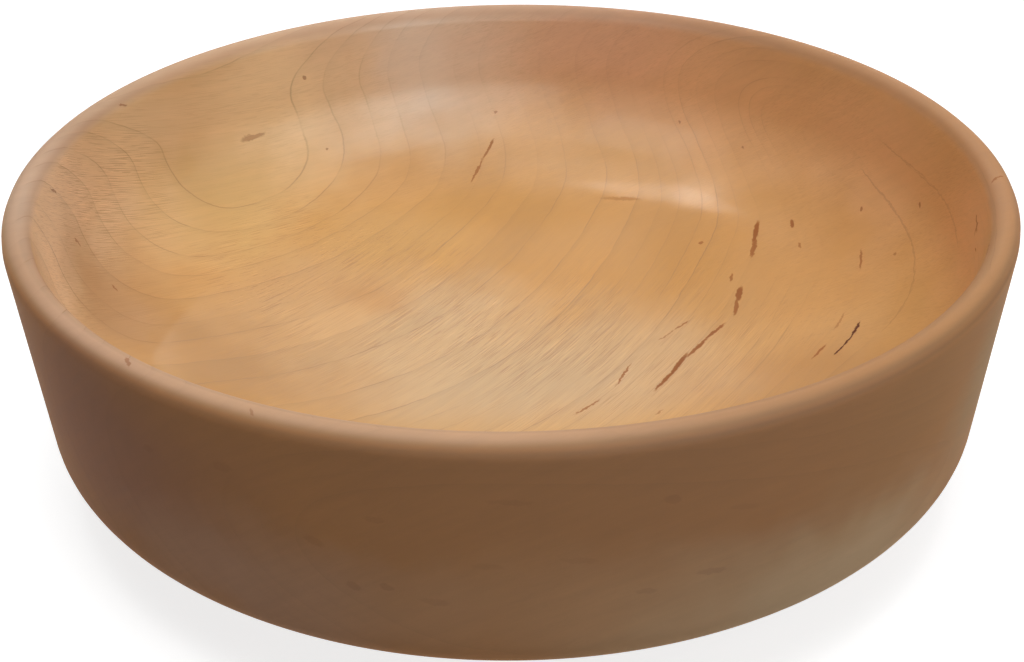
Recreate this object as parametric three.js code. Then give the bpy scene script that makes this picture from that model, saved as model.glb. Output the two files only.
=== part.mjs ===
// A turned wooden bowl: one solid piece of pale, close-grained wood, shaped and hollowed on a lathe.
// Millimetres, +Z up. The origin is on the turning axis, level with the surface that the foot stands on.
// The whole bowl is one profile of straight lines and tangent arcs, turned about that axis.
import * as THREE from 'three';

// Overall size
const rimDiameter = 250;
const bowlHeight = 80;

// Lip and wall: the lip is a full half-round, and the wall thickens below it.
// A lean is the angle, in degrees, that a wall opens from upright.
const lipThickness = 7;
const outsideLean = 5.6;
const insideLean = 9;

// Outside: a tight shoulder, then a long soft curve that comes in to the foot
const shoulderRadius = 11;
const undersideRadius = 115;
const undersideRise = 10;

// Inside: a wide cove below the wall, running into a shallow dished floor
const coveRadius = 40;
const floorRadius = 230;
const floorThickness = 10;

// Foot: a flat ring round the shallow recess that held the bowl on the lathe.
// The recess wall is undercut, as the expanding jaws of the lathe need.
const footDiameter = 140;
const recessDiameter = 60;
const recessDepth = 2.5;
const recessUndercut = 8;

// How far a facet may stray from the true curve
const facetTolerance = 0.08;

const woodColour = 0xb98a5c;
const woodRoughness = 0.5;

const radians = THREE.MathUtils.degToRad;

// How many facets keep an arc within the tolerance
function facetCount(radius, sweep) {
  const step = 2 * Math.acos(1 - facetTolerance / radius);
  return Math.max(1, Math.ceil(Math.abs(sweep) / step));
}

// The points of an arc, both ends included: angle 0 points away from the axis, and a quarter turn points up
function arcPoints(centre, radius, from, to) {
  const count = facetCount(radius, to - from);
  const points = [];
  for (let i = 0; i <= count; i += 1) {
    const angle = from + ((to - from) * i) / count;
    points.push(new THREE.Vector2(radius * Math.cos(angle), radius * Math.sin(angle)).add(centre));
  }
  return points;
}

// The centre of an arc that rolls down a straight wall until it touches a larger arc from inside.
// wallTop is a point on the wall, down is the wall's direction, and inward is square to it.
function rollingCentre(wallTop, down, inward, radius, largeCentre, largeRadius) {
  const start = wallTop.clone().addScaledVector(inward, radius).sub(largeCentre);
  const along = start.dot(down);
  const reach = largeRadius - radius;
  const travel = Math.sqrt(along * along - start.lengthSq() + reach * reach) - along;
  return start.addScaledVector(down, travel).add(largeCentre);
}

// The angle from one centre to another
function heading(from, to) {
  return Math.atan2(to.y - from.y, to.x - from.x);
}

const lipRadius = lipThickness / 2;
const lipCentre = new THREE.Vector2(rimDiameter / 2 - lipRadius, bowlHeight - lipRadius);
const outsideAngle = -radians(outsideLean);
const insideAngle = Math.PI - radians(insideLean);

// The underside of the foot, from the axis out to the edge of the flat ring
function footProfile() {
  const recessEdge = recessDiameter / 2;
  const undercut = recessDepth * Math.tan(radians(recessUndercut));
  return [
    new THREE.Vector2(0, recessDepth),
    new THREE.Vector2(recessEdge + undercut, recessDepth),
    new THREE.Vector2(recessEdge, 0),
  ];
}

// The outside, from the edge of the foot up to the lip
function outsideProfile() {
  const rise = radians(undersideRise);
  const undersideCentre = new THREE.Vector2(
    footDiameter / 2 - undersideRadius * Math.sin(rise),
    undersideRadius * Math.cos(rise),
  );
  const outward = new THREE.Vector2(Math.cos(outsideAngle), Math.sin(outsideAngle));
  const wallTop = lipCentre.clone().addScaledVector(outward, lipRadius);
  const down = new THREE.Vector2(outward.y, -outward.x);
  const inward = outward.clone().negate();
  const shoulderCentre = rollingCentre(
    wallTop, down, inward, shoulderRadius, undersideCentre, undersideRadius,
  );
  const meeting = heading(undersideCentre, shoulderCentre);
  return [
    ...arcPoints(undersideCentre, undersideRadius, rise - Math.PI / 2, meeting),
    ...arcPoints(shoulderCentre, shoulderRadius, meeting, outsideAngle).slice(1),
  ];
}

// The inside, from the lip down to the middle of the floor
function insideProfile() {
  const floorCentre = new THREE.Vector2(0, floorThickness + floorRadius);
  const inward = new THREE.Vector2(Math.cos(insideAngle), Math.sin(insideAngle));
  const wallTop = lipCentre.clone().addScaledVector(inward, lipRadius);
  const down = new THREE.Vector2(-inward.y, inward.x);
  const coveCentre = rollingCentre(wallTop, down, inward, coveRadius, floorCentre, floorRadius);
  const meeting = heading(floorCentre, coveCentre);
  return [
    ...arcPoints(coveCentre, coveRadius, insideAngle - Math.PI, meeting),
    ...arcPoints(floorCentre, floorRadius, meeting, -Math.PI / 2).slice(1),
  ];
}

// The half-round lip, in arcs that meet at its widest and its highest point, so both are true sizes
function lipProfile() {
  const widest = 0;
  const highest = Math.PI / 2;
  return [
    ...arcPoints(lipCentre, lipRadius, outsideAngle, widest),
    ...arcPoints(lipCentre, lipRadius, widest, highest).slice(1),
    ...arcPoints(lipCentre, lipRadius, highest, insideAngle).slice(1),
  ];
}

const profile = [...footProfile(), ...outsideProfile(), ...lipProfile(), ...insideProfile()];
const quarterSteps = facetCount(rimDiameter / 2, Math.PI / 2);

const wood = new THREE.MeshStandardMaterial({
  color: woodColour,
  roughness: woodRoughness,
  metalness: 0,
});
const bowl = new THREE.Mesh(new THREE.LatheGeometry(profile, 4 * quarterSteps).rotateX(Math.PI / 2), wood);
bowl.name = 'bowl';

const model = new THREE.Group();
model.add(bowl);

export default model;
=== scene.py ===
# %% [markdown]
# # A turned wooden bowl
#
# The object is one piece of pale wood, shaped on a lathe. The frame holds its true solid, made of facets.
# This script gives it the surface that a hand would feel: a smooth turned form, the growth rings and
# fibres of the tree, the small brown flecks in the wood, and a satin oil finish.
#
# The work goes in this order: the frame, the camera, the turned form, the wood, the light.

from math import atan2, cos, exp, pi, radians, sin, sqrt, tan

import bpy
import bmesh
from mathutils import Euler, Matrix, Vector


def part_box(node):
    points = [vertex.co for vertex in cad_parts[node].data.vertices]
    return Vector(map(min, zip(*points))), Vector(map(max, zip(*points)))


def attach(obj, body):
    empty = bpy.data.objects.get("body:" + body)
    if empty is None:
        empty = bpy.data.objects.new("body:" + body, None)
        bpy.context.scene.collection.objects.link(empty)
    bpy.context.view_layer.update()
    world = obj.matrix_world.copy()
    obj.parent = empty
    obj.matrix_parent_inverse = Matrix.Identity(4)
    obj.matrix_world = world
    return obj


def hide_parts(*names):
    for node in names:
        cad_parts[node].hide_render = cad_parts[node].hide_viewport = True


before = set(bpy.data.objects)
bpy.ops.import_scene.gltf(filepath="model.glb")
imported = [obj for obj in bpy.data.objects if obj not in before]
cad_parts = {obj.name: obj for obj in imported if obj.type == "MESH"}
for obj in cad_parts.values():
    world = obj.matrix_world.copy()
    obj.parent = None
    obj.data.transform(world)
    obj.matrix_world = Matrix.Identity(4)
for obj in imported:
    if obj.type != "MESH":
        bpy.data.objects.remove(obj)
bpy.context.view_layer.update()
bowl_top_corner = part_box("bowl")[1]
RIM_RADIUS = bowl_top_corner.x
HEIGHT = bowl_top_corner.z
MM = 0.001
print(f"bowl {2 * RIM_RADIUS / MM:.1f} mm wide and {HEIGHT / MM:.1f} mm high")

# %% [markdown]
# ## The camera
#
# The photograph was taken from close by, looking down into the bowl. The lip's ellipse gives the angle,
# and the way the near side looks larger than the far side gives the distance. The camera is placed by its
# distance from the middle of the lip and its height angle there, so it follows the bowl's size.

# %% Place the camera
PHOTO_WIDTH = 1024
PHOTO_HEIGHT = 662
SENSOR_WIDTH = 36.0
LENS = 60.75
VIEW_DISTANCE = 3.5 * RIM_RADIUS
VIEW_HEIGHT_ANGLE = radians(24.69)
LOOK_DOWN = radians(30.08)
HAND_TILT = radians(-0.59)


def place_camera():
    """A camera that looks from the front, slightly rolled as the hand-held one was."""
    data = bpy.data.cameras.new("camera")
    data.lens = LENS
    data.sensor_width = SENSOR_WIDTH
    camera = bpy.data.objects.new("camera", data)
    bpy.context.scene.collection.objects.link(camera)
    back = VIEW_DISTANCE * cos(VIEW_HEIGHT_ANGLE)
    up = HEIGHT + VIEW_DISTANCE * sin(VIEW_HEIGHT_ANGLE)
    turn = Euler((pi / 2 - LOOK_DOWN, 0, 0)).to_matrix().to_4x4()
    camera.matrix_world = Matrix.Translation((0, -back, up)) @ turn @ Matrix.Rotation(HAND_TILT, 4, "Z")
    bpy.context.scene.camera = camera
    return camera


camera = place_camera()
print("camera at", [round(v, 3) for v in camera.location])

# %% [markdown]
# ## The turner's sizes
#
# A lathe makes one profile and turns it about an axis, and the script does the same. The profile could be
# drawn as a curve by hand, but a turner thinks in radii: a half-round lip, a straight wall, a tight
# shoulder, a long underside, and inside them a cove and a dished floor. Each arc only has to touch the
# next.

# %% The turner's sizes
LIP_RADIUS = 3.5 * MM
OUTSIDE_LEAN = radians(5.6)
INSIDE_LEAN = radians(9)
SHOULDER_RADIUS = 11 * MM
UNDERSIDE_RADIUS = 115 * MM
UNDERSIDE_RISE = radians(10)
COVE_RADIUS = 40 * MM
FLOOR_RADIUS = 230 * MM
FLOOR_THICKNESS = 10 * MM
FOOT_RADIUS = 70 * MM
RECESS_RADIUS = 30 * MM
RECESS_DEPTH = 2.5 * MM
RECESS_UNDERCUT = radians(8)
print(f"lip {2 * LIP_RADIUS / MM:.0f} mm thick, foot {2 * FOOT_RADIUS / MM:.0f} mm wide")

# %% [markdown]
# ## Arcs and straight stretches
#
# The profile is laid out as points, a little over a millimetre apart. A curve object with a bevel would
# hold fewer points, but its steps can't be even along both a tight lip and a long wall. Plain points can.

# %% Points along a stretch
STEP = 1.3 * MM
FEWEST_STEPS = 6


def direction(angle):
    """A unit step in the profile plane: x is away from the axis, y is up."""
    return Vector((cos(angle), sin(angle)))


def arc(centre, radius, start, end):
    """Points along an arc, both ends included, about one step apart."""
    count = max(FEWEST_STEPS, round(abs(end - start) * radius / STEP))
    return [centre + radius * direction(start + (end - start) * i / count) for i in range(count + 1)]


def line(start, end):
    """Points along a straight stretch, both ends included."""
    count = max(1, round((end - start).length / STEP))
    return [start.lerp(end, i / count) for i in range(count + 1)]


print(f"a half-round lip takes {len(arc(Vector((0, 0)), LIP_RADIUS, 0, pi))} points")

# %% [markdown]
# ## Where one arc touches the next
#
# On a good bowl no corner can be felt between wall and floor. Two arcs meet without a corner where the
# line through their centres passes. The small arc is pictured as a ball that rolls down the straight wall
# until it touches the large arc, and its centre there is worked out, so the form stays smooth if a size
# changes.

# %% Centres of touching arcs
def rolling_centre(wall_top, outward, radius, large_centre, large_radius):
    """The centre of an arc that rolls down a straight wall until it touches a larger arc from inside."""
    down = Vector((outward.y, -outward.x)) if outward.x > 0 else Vector((-outward.y, outward.x))
    start = wall_top - outward * radius - large_centre
    covered = start.dot(down)
    reach = large_radius - radius
    return start + down * (sqrt(covered**2 - start.length_squared + reach**2) - covered) + large_centre


def heading(start, end):
    """The angle from one centre to another."""
    return atan2(end.y - start.y, end.x - start.x)


lip_centre = Vector((RIM_RADIUS - LIP_RADIUS, HEIGHT - LIP_RADIUS))
outside_angle = -OUTSIDE_LEAN
inside_angle = pi - INSIDE_LEAN
outside_top = lip_centre + LIP_RADIUS * direction(outside_angle)
inside_top = lip_centre + LIP_RADIUS * direction(inside_angle)

underside_centre = Vector((FOOT_RADIUS, 0)) + UNDERSIDE_RADIUS * direction(UNDERSIDE_RISE + pi / 2)
shoulder_centre = rolling_centre(outside_top, direction(outside_angle), SHOULDER_RADIUS,
                                 underside_centre, UNDERSIDE_RADIUS)
underside_end = heading(underside_centre, shoulder_centre)

floor_centre = Vector((0, FLOOR_THICKNESS + FLOOR_RADIUS))
cove_centre = rolling_centre(inside_top, -direction(inside_angle), COVE_RADIUS, floor_centre, FLOOR_RADIUS)
cove_end = heading(floor_centre, cove_centre)
print("the shoulder's centre is", [round(v / MM, 1) for v in shoulder_centre], "mm out and up")

# %% [markdown]
# ## The whole profile
#
# The stretches follow each other from the middle of the recess, out under the foot, up the outside, over
# the lip, down the inside and back to the middle of the floor.

# %% Join the stretches
recess_floor = RECESS_RADIUS + RECESS_DEPTH * tan(RECESS_UNDERCUT)
stretches = [
    line(Vector((0, RECESS_DEPTH)), Vector((recess_floor, RECESS_DEPTH))),
    line(Vector((recess_floor, RECESS_DEPTH)), Vector((RECESS_RADIUS, 0))),
    line(Vector((RECESS_RADIUS, 0)), Vector((FOOT_RADIUS, 0))),
    arc(underside_centre, UNDERSIDE_RADIUS, UNDERSIDE_RISE - pi / 2, underside_end),
    arc(shoulder_centre, SHOULDER_RADIUS, underside_end, outside_angle),
    line(shoulder_centre + SHOULDER_RADIUS * direction(outside_angle), outside_top),
    arc(lip_centre, LIP_RADIUS, outside_angle, inside_angle),
    line(inside_top, cove_centre + COVE_RADIUS * direction(inside_angle - pi)),
    arc(cove_centre, COVE_RADIUS, inside_angle - pi, cove_end),
    arc(floor_centre, FLOOR_RADIUS, cove_end, -pi / 2),
]
profile = [stretches[0][0]]
for stretch in stretches:
    profile += stretch[1:]
print(f"profile of {len(profile)} points")

# %% [markdown]
# ## Turn it
#
# Each point of the profile becomes a ring of points about the axis, and neighbouring rings are joined by
# four-sided faces. A Screw modifier does the same, but leaves a pinch at the axis. Here each end of the
# profile is a single point with a fan of triangles round it, so the mesh is closed. With this many steps
# the outline shows no corners.

# %% Turn the profile
TURN_STEPS = 360


def turn_profile(name, points):
    """A closed mesh made by turning the profile about the axis, with a single point at each end."""
    shape = bmesh.new()
    rings = []
    for point in points[1:-1]:
        angles = [2 * pi * i / TURN_STEPS for i in range(TURN_STEPS)]
        rings.append([shape.verts.new((point.x * cos(a), point.x * sin(a), point.y)) for a in angles])
    for low, high in zip(rings, rings[1:]):
        for i in range(TURN_STEPS):
            j = (i + 1) % TURN_STEPS
            shape.faces.new((low[i], low[j], high[j], high[i]))
    first = shape.verts.new((0, 0, points[0].y))
    last = shape.verts.new((0, 0, points[-1].y))
    for i in range(TURN_STEPS):
        j = (i + 1) % TURN_STEPS
        shape.faces.new((first, rings[0][j], rings[0][i]))
        shape.faces.new((last, rings[-1][i], rings[-1][j]))
    for face in shape.faces:
        face.smooth = True
    mesh = bpy.data.meshes.new(name)
    shape.to_mesh(mesh)
    shape.free()
    piece = bpy.data.objects.new(name, mesh)
    bpy.context.scene.collection.objects.link(piece)
    return piece


bowl = turn_profile("turned_bowl", profile)
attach(bowl, "root")
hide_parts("bowl")
print(f"{len(bowl.data.vertices)} points, {len(bowl.data.polygons)} faces")

# %% [markdown]
# ## The tools for the finish
#
# Every effect of the wood is a small group of shader nodes with named inputs and outputs, and the
# material then reads like a recipe. Nodes can be placed by hand in the editor. Here short helpers place
# them, so that a group's lines read like plain sums.

# %% Helpers that place nodes
def new_group(name, inputs, outputs):
    """An empty node group. Returns the tree, its input sockets and its output sockets."""
    tree = bpy.data.node_groups.new(name, "ShaderNodeTree")
    for title, kind in inputs:
        tree.interface.new_socket(title, in_out="INPUT", socket_type="NodeSocket" + kind)
    for title, kind in outputs:
        tree.interface.new_socket(title, in_out="OUTPUT", socket_type="NodeSocket" + kind)
    given = tree.nodes.new("NodeGroupInput").outputs
    result = tree.nodes.new("NodeGroupOutput").inputs
    return tree, given, result


def feed(tree, socket, value):
    """Links a socket to another one, or writes a plain value into it."""
    if isinstance(value, bpy.types.NodeSocket):
        tree.links.new(value, socket)
    else:
        socket.default_value = value


def calc(tree, operation, *values):
    """One sum on numbers."""
    node = tree.nodes.new("ShaderNodeMath")
    node.operation = operation
    for socket, value in zip(node.inputs, values):
        feed(tree, socket, value)
    return node.outputs["Value"]


def vector_calc(tree, operation, *values):
    """One sum on vectors; a length or a dot product comes back as a number."""
    node = tree.nodes.new("ShaderNodeVectorMath")
    node.operation = operation
    slots = [s for s in node.inputs if s.name != "Scale"]
    for socket, value in zip(slots, values):
        feed(tree, socket, value)
    return node.outputs["Value" if operation in ("LENGTH", "DOT_PRODUCT") else "Vector"]


print("helpers for groups and sums ready")

# %% [markdown]
# ## Moved and turned places
#
# A mark on the wood is drawn round its own middle and along its own length. Instead of moving the mark,
# the place that is asked about is moved and turned the other way. A Mapping node does this in one step,
# but its many copies fill the renderer's memory for a material, so subtract, rotate and divide nodes are
# used.

# %% Helpers for places
def turned(tree, vector, turn, back=False):
    """A vector turned about the origin, or turned back."""
    node = tree.nodes.new("ShaderNodeVectorRotate")
    node.rotation_type = "EULER_XYZ"
    node.invert = back
    feed(tree, node.inputs["Vector"], vector)
    feed(tree, node.inputs["Rotation"], turn)
    return node.outputs["Vector"]


def mapped(tree, position, place, turn, size):
    """The position as seen from a box at a place, turned and with a half size."""
    away = vector_calc(tree, "SUBTRACT", position, place)
    return vector_calc(tree, "DIVIDE", turned(tree, away, turn, back=True), size)


def combined(tree, x, y, z):
    """A vector made of three numbers."""
    node = tree.nodes.new("ShaderNodeCombineXYZ")
    for socket, value in zip(node.inputs, (x, y, z)):
        feed(tree, socket, value)
    return node.outputs["Vector"]


def parts_of(tree, vector):
    """The three numbers of a vector."""
    node = tree.nodes.new("ShaderNodeSeparateXYZ")
    feed(tree, node.inputs["Vector"], vector)
    return node.outputs


print("helpers for places ready")

# %% [markdown]
# ## The trunk
#
# A tree adds one layer of wood a year, so every ring is a tube round the trunk's middle, and a bowl's
# surface cuts through those tubes. Painted lines would slide off the form; a trunk in space gives the
# right curve on every face, inside and out. This trunk is oval, leans, bends and tapers a little. Its
# numbers were found by tracing sixteen ring lines on the photograph and asking which trunk leaves the
# same lines on this bowl.

# %% Where the trunk lies
TRUNK_HEADING = radians(66.4)
TRUNK_CLIMB = radians(2.7)
PITH_ASIDE = -62.5  # the trunk's middle, in millimetres from the bowl's
PITH_UP = 46.8
BEND_ASIDE = 0.063  # how far the middle bends away, in millimetres, at one centimetre along the trunk
BEND_UP = 0.040
TAPER = 0.146  # millimetres per millimetre along the trunk
TAPER_BEND = 0.146
OVAL_TURN = (0, 0, 0.13)
OVAL = -0.783  # a round trunk has 0
PER_MM = (1 / MM, 1 / MM, 1 / MM)
PER_SQUARE_CENTIMETRE = 0.01  # turns square millimetres into square centimetres

forward = cos(TRUNK_CLIMB)
along = Vector((cos(TRUNK_HEADING) * forward, sin(TRUNK_HEADING) * forward, sin(TRUNK_CLIMB)))
aside = Vector((-sin(TRUNK_HEADING), cos(TRUNK_HEADING), 0))
upward = along.cross(aside)
print("the trunk runs along", [round(v, 2) for v in along])

# %% [markdown]
# ## Distance from the pith
#
# The group tells how far a place is from the trunk's middle. It also tells how fast that distance grows
# along the surface. Where a ring lies nearly flat in the surface, the distance hardly changes, and a line
# drawn by distance alone would spread into a smudge. The slope keeps every line equally thin.

# %% Trunk Rings group
def build_trunk_rings():
    """The distance from the pith in millimetres, and how fast it grows along the surface."""
    inputs = [("Position", "Vector"), ("Normal", "Vector")]
    tree, given, result = new_group("Trunk Rings", inputs, [("Distance", "Float"), ("Steepness", "Float")])
    place = vector_calc(tree, "MULTIPLY", given["Position"], PER_MM)
    run = vector_calc(tree, "DOT_PRODUCT", place, along)
    left = vector_calc(tree, "DOT_PRODUCT", place, aside)
    height = vector_calc(tree, "DOT_PRODUCT", place, upward)
    bend = calc(tree, "MULTIPLY", calc(tree, "MULTIPLY", run, run), PER_SQUARE_CENTIMETRE)
    left = calc(tree, "SUBTRACT", left, calc(tree, "MULTIPLY_ADD", bend, BEND_ASIDE, PITH_ASIDE))
    height = calc(tree, "SUBTRACT", height, calc(tree, "MULTIPLY_ADD", bend, BEND_UP, PITH_UP))
    squeeze = (exp(-OVAL / 2), exp(OVAL / 2), 1)
    oval = mapped(tree, combined(tree, left, height, 0), (0, 0, 0), OVAL_TURN, squeeze)
    taper = calc(tree, "MULTIPLY_ADD", run, TAPER, calc(tree, "MULTIPLY", bend, TAPER_BEND))
    tree.links.new(calc(tree, "ADD", vector_calc(tree, "LENGTH", oval), taper), result["Distance"])

    outward = vector_calc(tree, "DIVIDE", vector_calc(tree, "NORMALIZE", oval), squeeze)
    growth = parts_of(tree, turned(tree, outward, OVAL_TURN))
    growth = combined(tree, growth["X"], growth["Y"], TAPER)
    facing = combined(tree, *(vector_calc(tree, "DOT_PRODUCT", given["Normal"], way)
                              for way in (aside, upward, along)))
    slope = vector_calc(tree, "LENGTH", vector_calc(tree, "CROSS_PRODUCT", growth, facing))
    tree.links.new(slope, result["Steepness"])
    return tree


trunk_rings = build_trunk_rings()
print("the trunk's middle passes", round(abs(PITH_ASIDE)), "mm beside the bowl's middle")

# %% [markdown]
# ## The fibres
#
# Wood is a bundle of long cells in thin sheets. Where a sheet meets the surface it shows as a fine
# streak. A noise drawn out along the fibres, and thin across the sheets, gives such streaks on every
# face. The tree's fibres curve, so the sheets under the floor lie one way and those in the wall another.
# Both directions were measured on the photograph's streaks.

# %% Fibre directions
FLOOR_FIBRE_HEADING = radians(52)
floor_turn = Euler((0, 0, FLOOR_FIBRE_HEADING))
wall_fibre = Vector((0.55, 0.79, -0.28)).normalized()
wall_sheet = Vector((-0.35, 0.52, 0.78)).normalized()
wall_turn = Matrix((wall_fibre, wall_sheet, wall_fibre.cross(wall_sheet))).transposed().to_euler()
print("fibres in the wall run along", [round(v, 2) for v in wall_fibre])

# %% [markdown]
# ## Noise and smooth steps
#
# Two more helpers. The first is the smooth step that nearly every mask uses: a hard edge between two
# kinds of wood would look printed. The second is a soft noise, for all that varies from place to place.

# %% Helpers for masks and noise
def ramp(tree, value, low, high, to_low=0.0, to_high=1.0):
    """A smooth step: low becomes to_low, high becomes to_high, and nothing goes past them."""
    node = tree.nodes.new("ShaderNodeMapRange")
    node.interpolation_type = "SMOOTHSTEP"
    titles = ("Value", "From Min", "From Max", "To Min", "To Max")
    for title, number in zip(titles, (value, low, high, to_low, to_high)):
        feed(tree, node.inputs[title], number)
    return node.outputs["Result"]


def noise_node(tree, position, per_metre, detail=2.0):
    """The two outputs of a soft noise that changes about so many times per metre: Fac and Color."""
    node = tree.nodes.new("ShaderNodeTexNoise")
    feed(tree, node.inputs["Vector"], position)
    feed(tree, node.inputs["Scale"], per_metre)
    feed(tree, node.inputs["Detail"], detail)
    return node.outputs


def pushed(tree, position, per_metre, reach):
    """The position moved a little by a noise, so that an edge drawn there is uneven."""
    push = noise_node(tree, position, per_metre)["Color"]
    push = vector_calc(tree, "SUBTRACT", push, (0.5, 0.5, 0.5))
    push = vector_calc(tree, "MULTIPLY", push, (reach, reach, reach))
    return vector_calc(tree, "ADD", position, push)


print("helpers for masks and noise ready")

# %% [markdown]
# ## Streaks
#
# The group mixes the two kinds of sheet by where the point is: low and well inside the wall is floor. It
# is used at three sizes: hair-thin ticks, wide quiet bands, and small steps in the ring lines.

# %% Streaks group
SHEET_DEPTH = 8
FLOOR_FADES_UP = (34 * MM, 18 * MM)
FLOOR_FADES_OUT = (108 * MM, 100 * MM)


def build_streaks():
    """Noise drawn out along the fibres. Length and Width are in metres. Floor is 1 on the floor."""
    inputs = [("Position", "Vector"), ("Length", "Float"), ("Width", "Float"), ("Detail", "Float")]
    tree, given, result = new_group("Streaks", inputs, [("Value", "Float"), ("Floor", "Float")])
    depth = calc(tree, "MULTIPLY", given["Width"], SHEET_DEPTH)
    size = combined(tree, given["Length"], given["Width"], depth)
    floor_place = mapped(tree, given["Position"], (0, 0, 0), floor_turn, size)
    floor_streak = noise_node(tree, floor_place, 1.0, given["Detail"])["Fac"]
    wall_place = mapped(tree, given["Position"], (0, 0, 0), wall_turn, size)
    wall_streak = noise_node(tree, wall_place, 1.0, given["Detail"])["Fac"]
    height = vector_calc(tree, "DOT_PRODUCT", given["Position"], (0, 0, 1))
    from_axis = vector_calc(tree, "LENGTH", vector_calc(tree, "MULTIPLY", given["Position"], (1, 1, 0)))
    low = ramp(tree, height, *FLOOR_FADES_UP)
    floor_mask = calc(tree, "MULTIPLY", low, ramp(tree, from_axis, *FLOOR_FADES_OUT))
    tree.links.new(floor_mask, result["Floor"])
    change = calc(tree, "SUBTRACT", floor_streak, wall_streak)
    tree.links.new(calc(tree, "MULTIPLY_ADD", change, floor_mask, wall_streak), result["Value"])
    return tree


streaks = build_streaks()
print("streaks ready, sheets", SHEET_DEPTH, "times as deep as they are wide")

# %% [markdown]
# ## One ring line
#
# The wood grown late in a year is denser, so each year ends in a thin darker line. One group draws one
# line at a distance from the pith. The wood just inside it darkens softly towards it. Both widths are
# measured along the surface, with the help of the slope.

# %% Ring Line group
LINE_REACH = 0.25  # millimetres to each side of the line's middle
LATE_WIDTH = 3.2


def build_ring_line():
    """One year's end: a thin line, and the soft darkening just inside it."""
    inputs = [("Distance", "Float"), ("At", "Float"), ("Strength", "Float"), ("Steepness", "Float")]
    tree, given, result = new_group("Ring Line", inputs, [("Line", "Float"), ("Late Wood", "Float")])
    gap = calc(tree, "DIVIDE", calc(tree, "SUBTRACT", given["Distance"], given["At"]), given["Steepness"])
    core = ramp(tree, calc(tree, "ABSOLUTE", gap), LINE_REACH, 0.0)
    tree.links.new(calc(tree, "MULTIPLY", core, given["Strength"]), result["Line"])
    inside = calc(tree, "LESS_THAN", gap, 0.0)
    soft = calc(tree, "POWER", ramp(tree, gap, -LATE_WIDTH, 0.0), 2.0)
    late = calc(tree, "MULTIPLY", calc(tree, "MULTIPLY", soft, inside), given["Strength"])
    tree.links.new(late, result["Late Wood"])
    return tree


ring_line = build_ring_line()
print("a ring line is", 2 * LINE_REACH, "mm wide, with late wood over", LATE_WIDTH, "mm")

# %% [markdown]
# ## A group inside a group
#
# A group can stand in any other node tree as one node, fed by name. That is how one small ring line
# serves every year of the tree, and how a later change to the line changes them all.

# %% Helper that uses a group
def use(tree, group, **values):
    """A copy of a group in a tree, with its inputs fed by name."""
    node = tree.nodes.new("ShaderNodeGroup")
    node.node_tree = group
    for title, value in values.items():
        feed(tree, node.inputs[title.replace("_", " ")], value)
    return node.outputs


print("helper for groups ready")

# %% [markdown]
# ## All the years
#
# A single repeating wave would space the years evenly, and this tree grew unevenly, so each line is
# placed. Every line wavers a little and steps from fibre to fibre, more so on the floor, and fades here
# and there. Each year also has a tone of its own.

# %% Growth Rings group
RING_LINES = [  # distance from the pith in millimetres, strength
    (36.4, 0.75), (41.8, 0.35), (48.0, 0.65), (51.5, 0.45), (54.5, 0.40), (61.0, 0.25), (65.5, 0.30),
    (69.7, 0.75), (73.1, 0.55), (77.5, 0.30), (81.0, 0.35), (85.4, 0.85), (91.5, 0.80), (98.0, 0.75),
    (102.5, 0.40), (106.9, 0.80), (110.0, 0.35), (114.0, 0.55), (117.2, 0.50), (119.5, 0.55), (121.8, 0.60),
    (123.4, 0.60), (127.0, 0.40), (131.0, 0.30), (137.0, 0.45), (144.0, 0.40), (152.0, 0.40),
]
WAVERS_PER_METRE = 55
WAVER = 1.0
WALL_STEP = 0.20
FLOOR_STEP = 0.75
LEAST_STEEPNESS = 0.15
FADES_PER_METRE = 70
RING_FADES = (0.36, 0.60, 0.20, 1.0)  # noise from and to, and how strong a line is there
FIRST_YEAR = 3.5  # another start gives the years other tones


def build_growth_rings():
    """The lines, the late wood, and a tone that differs from year to year."""
    inputs = [("Position", "Vector"), ("Normal", "Vector")]
    outputs = [("Lines", "Float"), ("Late Wood", "Float"), ("Year Tone", "Float")]
    tree, given, result = new_group("Growth Rings", inputs, outputs)
    here = given["Position"]
    trunk = use(tree, trunk_rings, Position=here, Normal=given["Normal"])
    steepness = calc(tree, "MAXIMUM", trunk["Steepness"], LEAST_STEEPNESS)
    waver = noise_node(tree, here, WAVERS_PER_METRE)["Fac"]
    waver = calc(tree, "MULTIPLY_ADD", waver, 2 * WAVER, -WAVER)
    steps = use(tree, streaks, Position=here, Length=9 * MM, Width=0.9 * MM, Detail=2.0)
    reach = calc(tree, "MULTIPLY_ADD", steps["Floor"], FLOOR_STEP - WALL_STEP, WALL_STEP)
    step = calc(tree, "MULTIPLY", calc(tree, "SUBTRACT", steps["Value"], 0.5), reach)
    distance = calc(tree, "MULTIPLY_ADD", calc(tree, "ADD", waver, step), steepness, trunk["Distance"])
    lines = late = years = 0.0
    for at, strength in RING_LINES:
        ring = use(tree, ring_line, Distance=distance, At=at, Strength=strength, Steepness=steepness)
        lines = calc(tree, "MAXIMUM", ring["Line"], lines)
        late = calc(tree, "MAXIMUM", ring["Late Wood"], late)
        years = calc(tree, "ADD", calc(tree, "GREATER_THAN", distance, at), years)
    patchy = ramp(tree, noise_node(tree, here, FADES_PER_METRE)["Fac"], *RING_FADES)
    tree.links.new(calc(tree, "MULTIPLY", lines, patchy), result["Lines"])
    tree.links.new(late, result["Late Wood"])
    shuffle = tree.nodes.new("ShaderNodeTexWhiteNoise")
    shuffle.noise_dimensions = "1D"
    tree.links.new(calc(tree, "ADD", years, FIRST_YEAR), shuffle.inputs["W"])
    tree.links.new(shuffle.outputs["Value"], result["Year Tone"])
    return tree


growth_rings = build_growth_rings()
print(len(RING_LINES), "ring lines")

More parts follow.
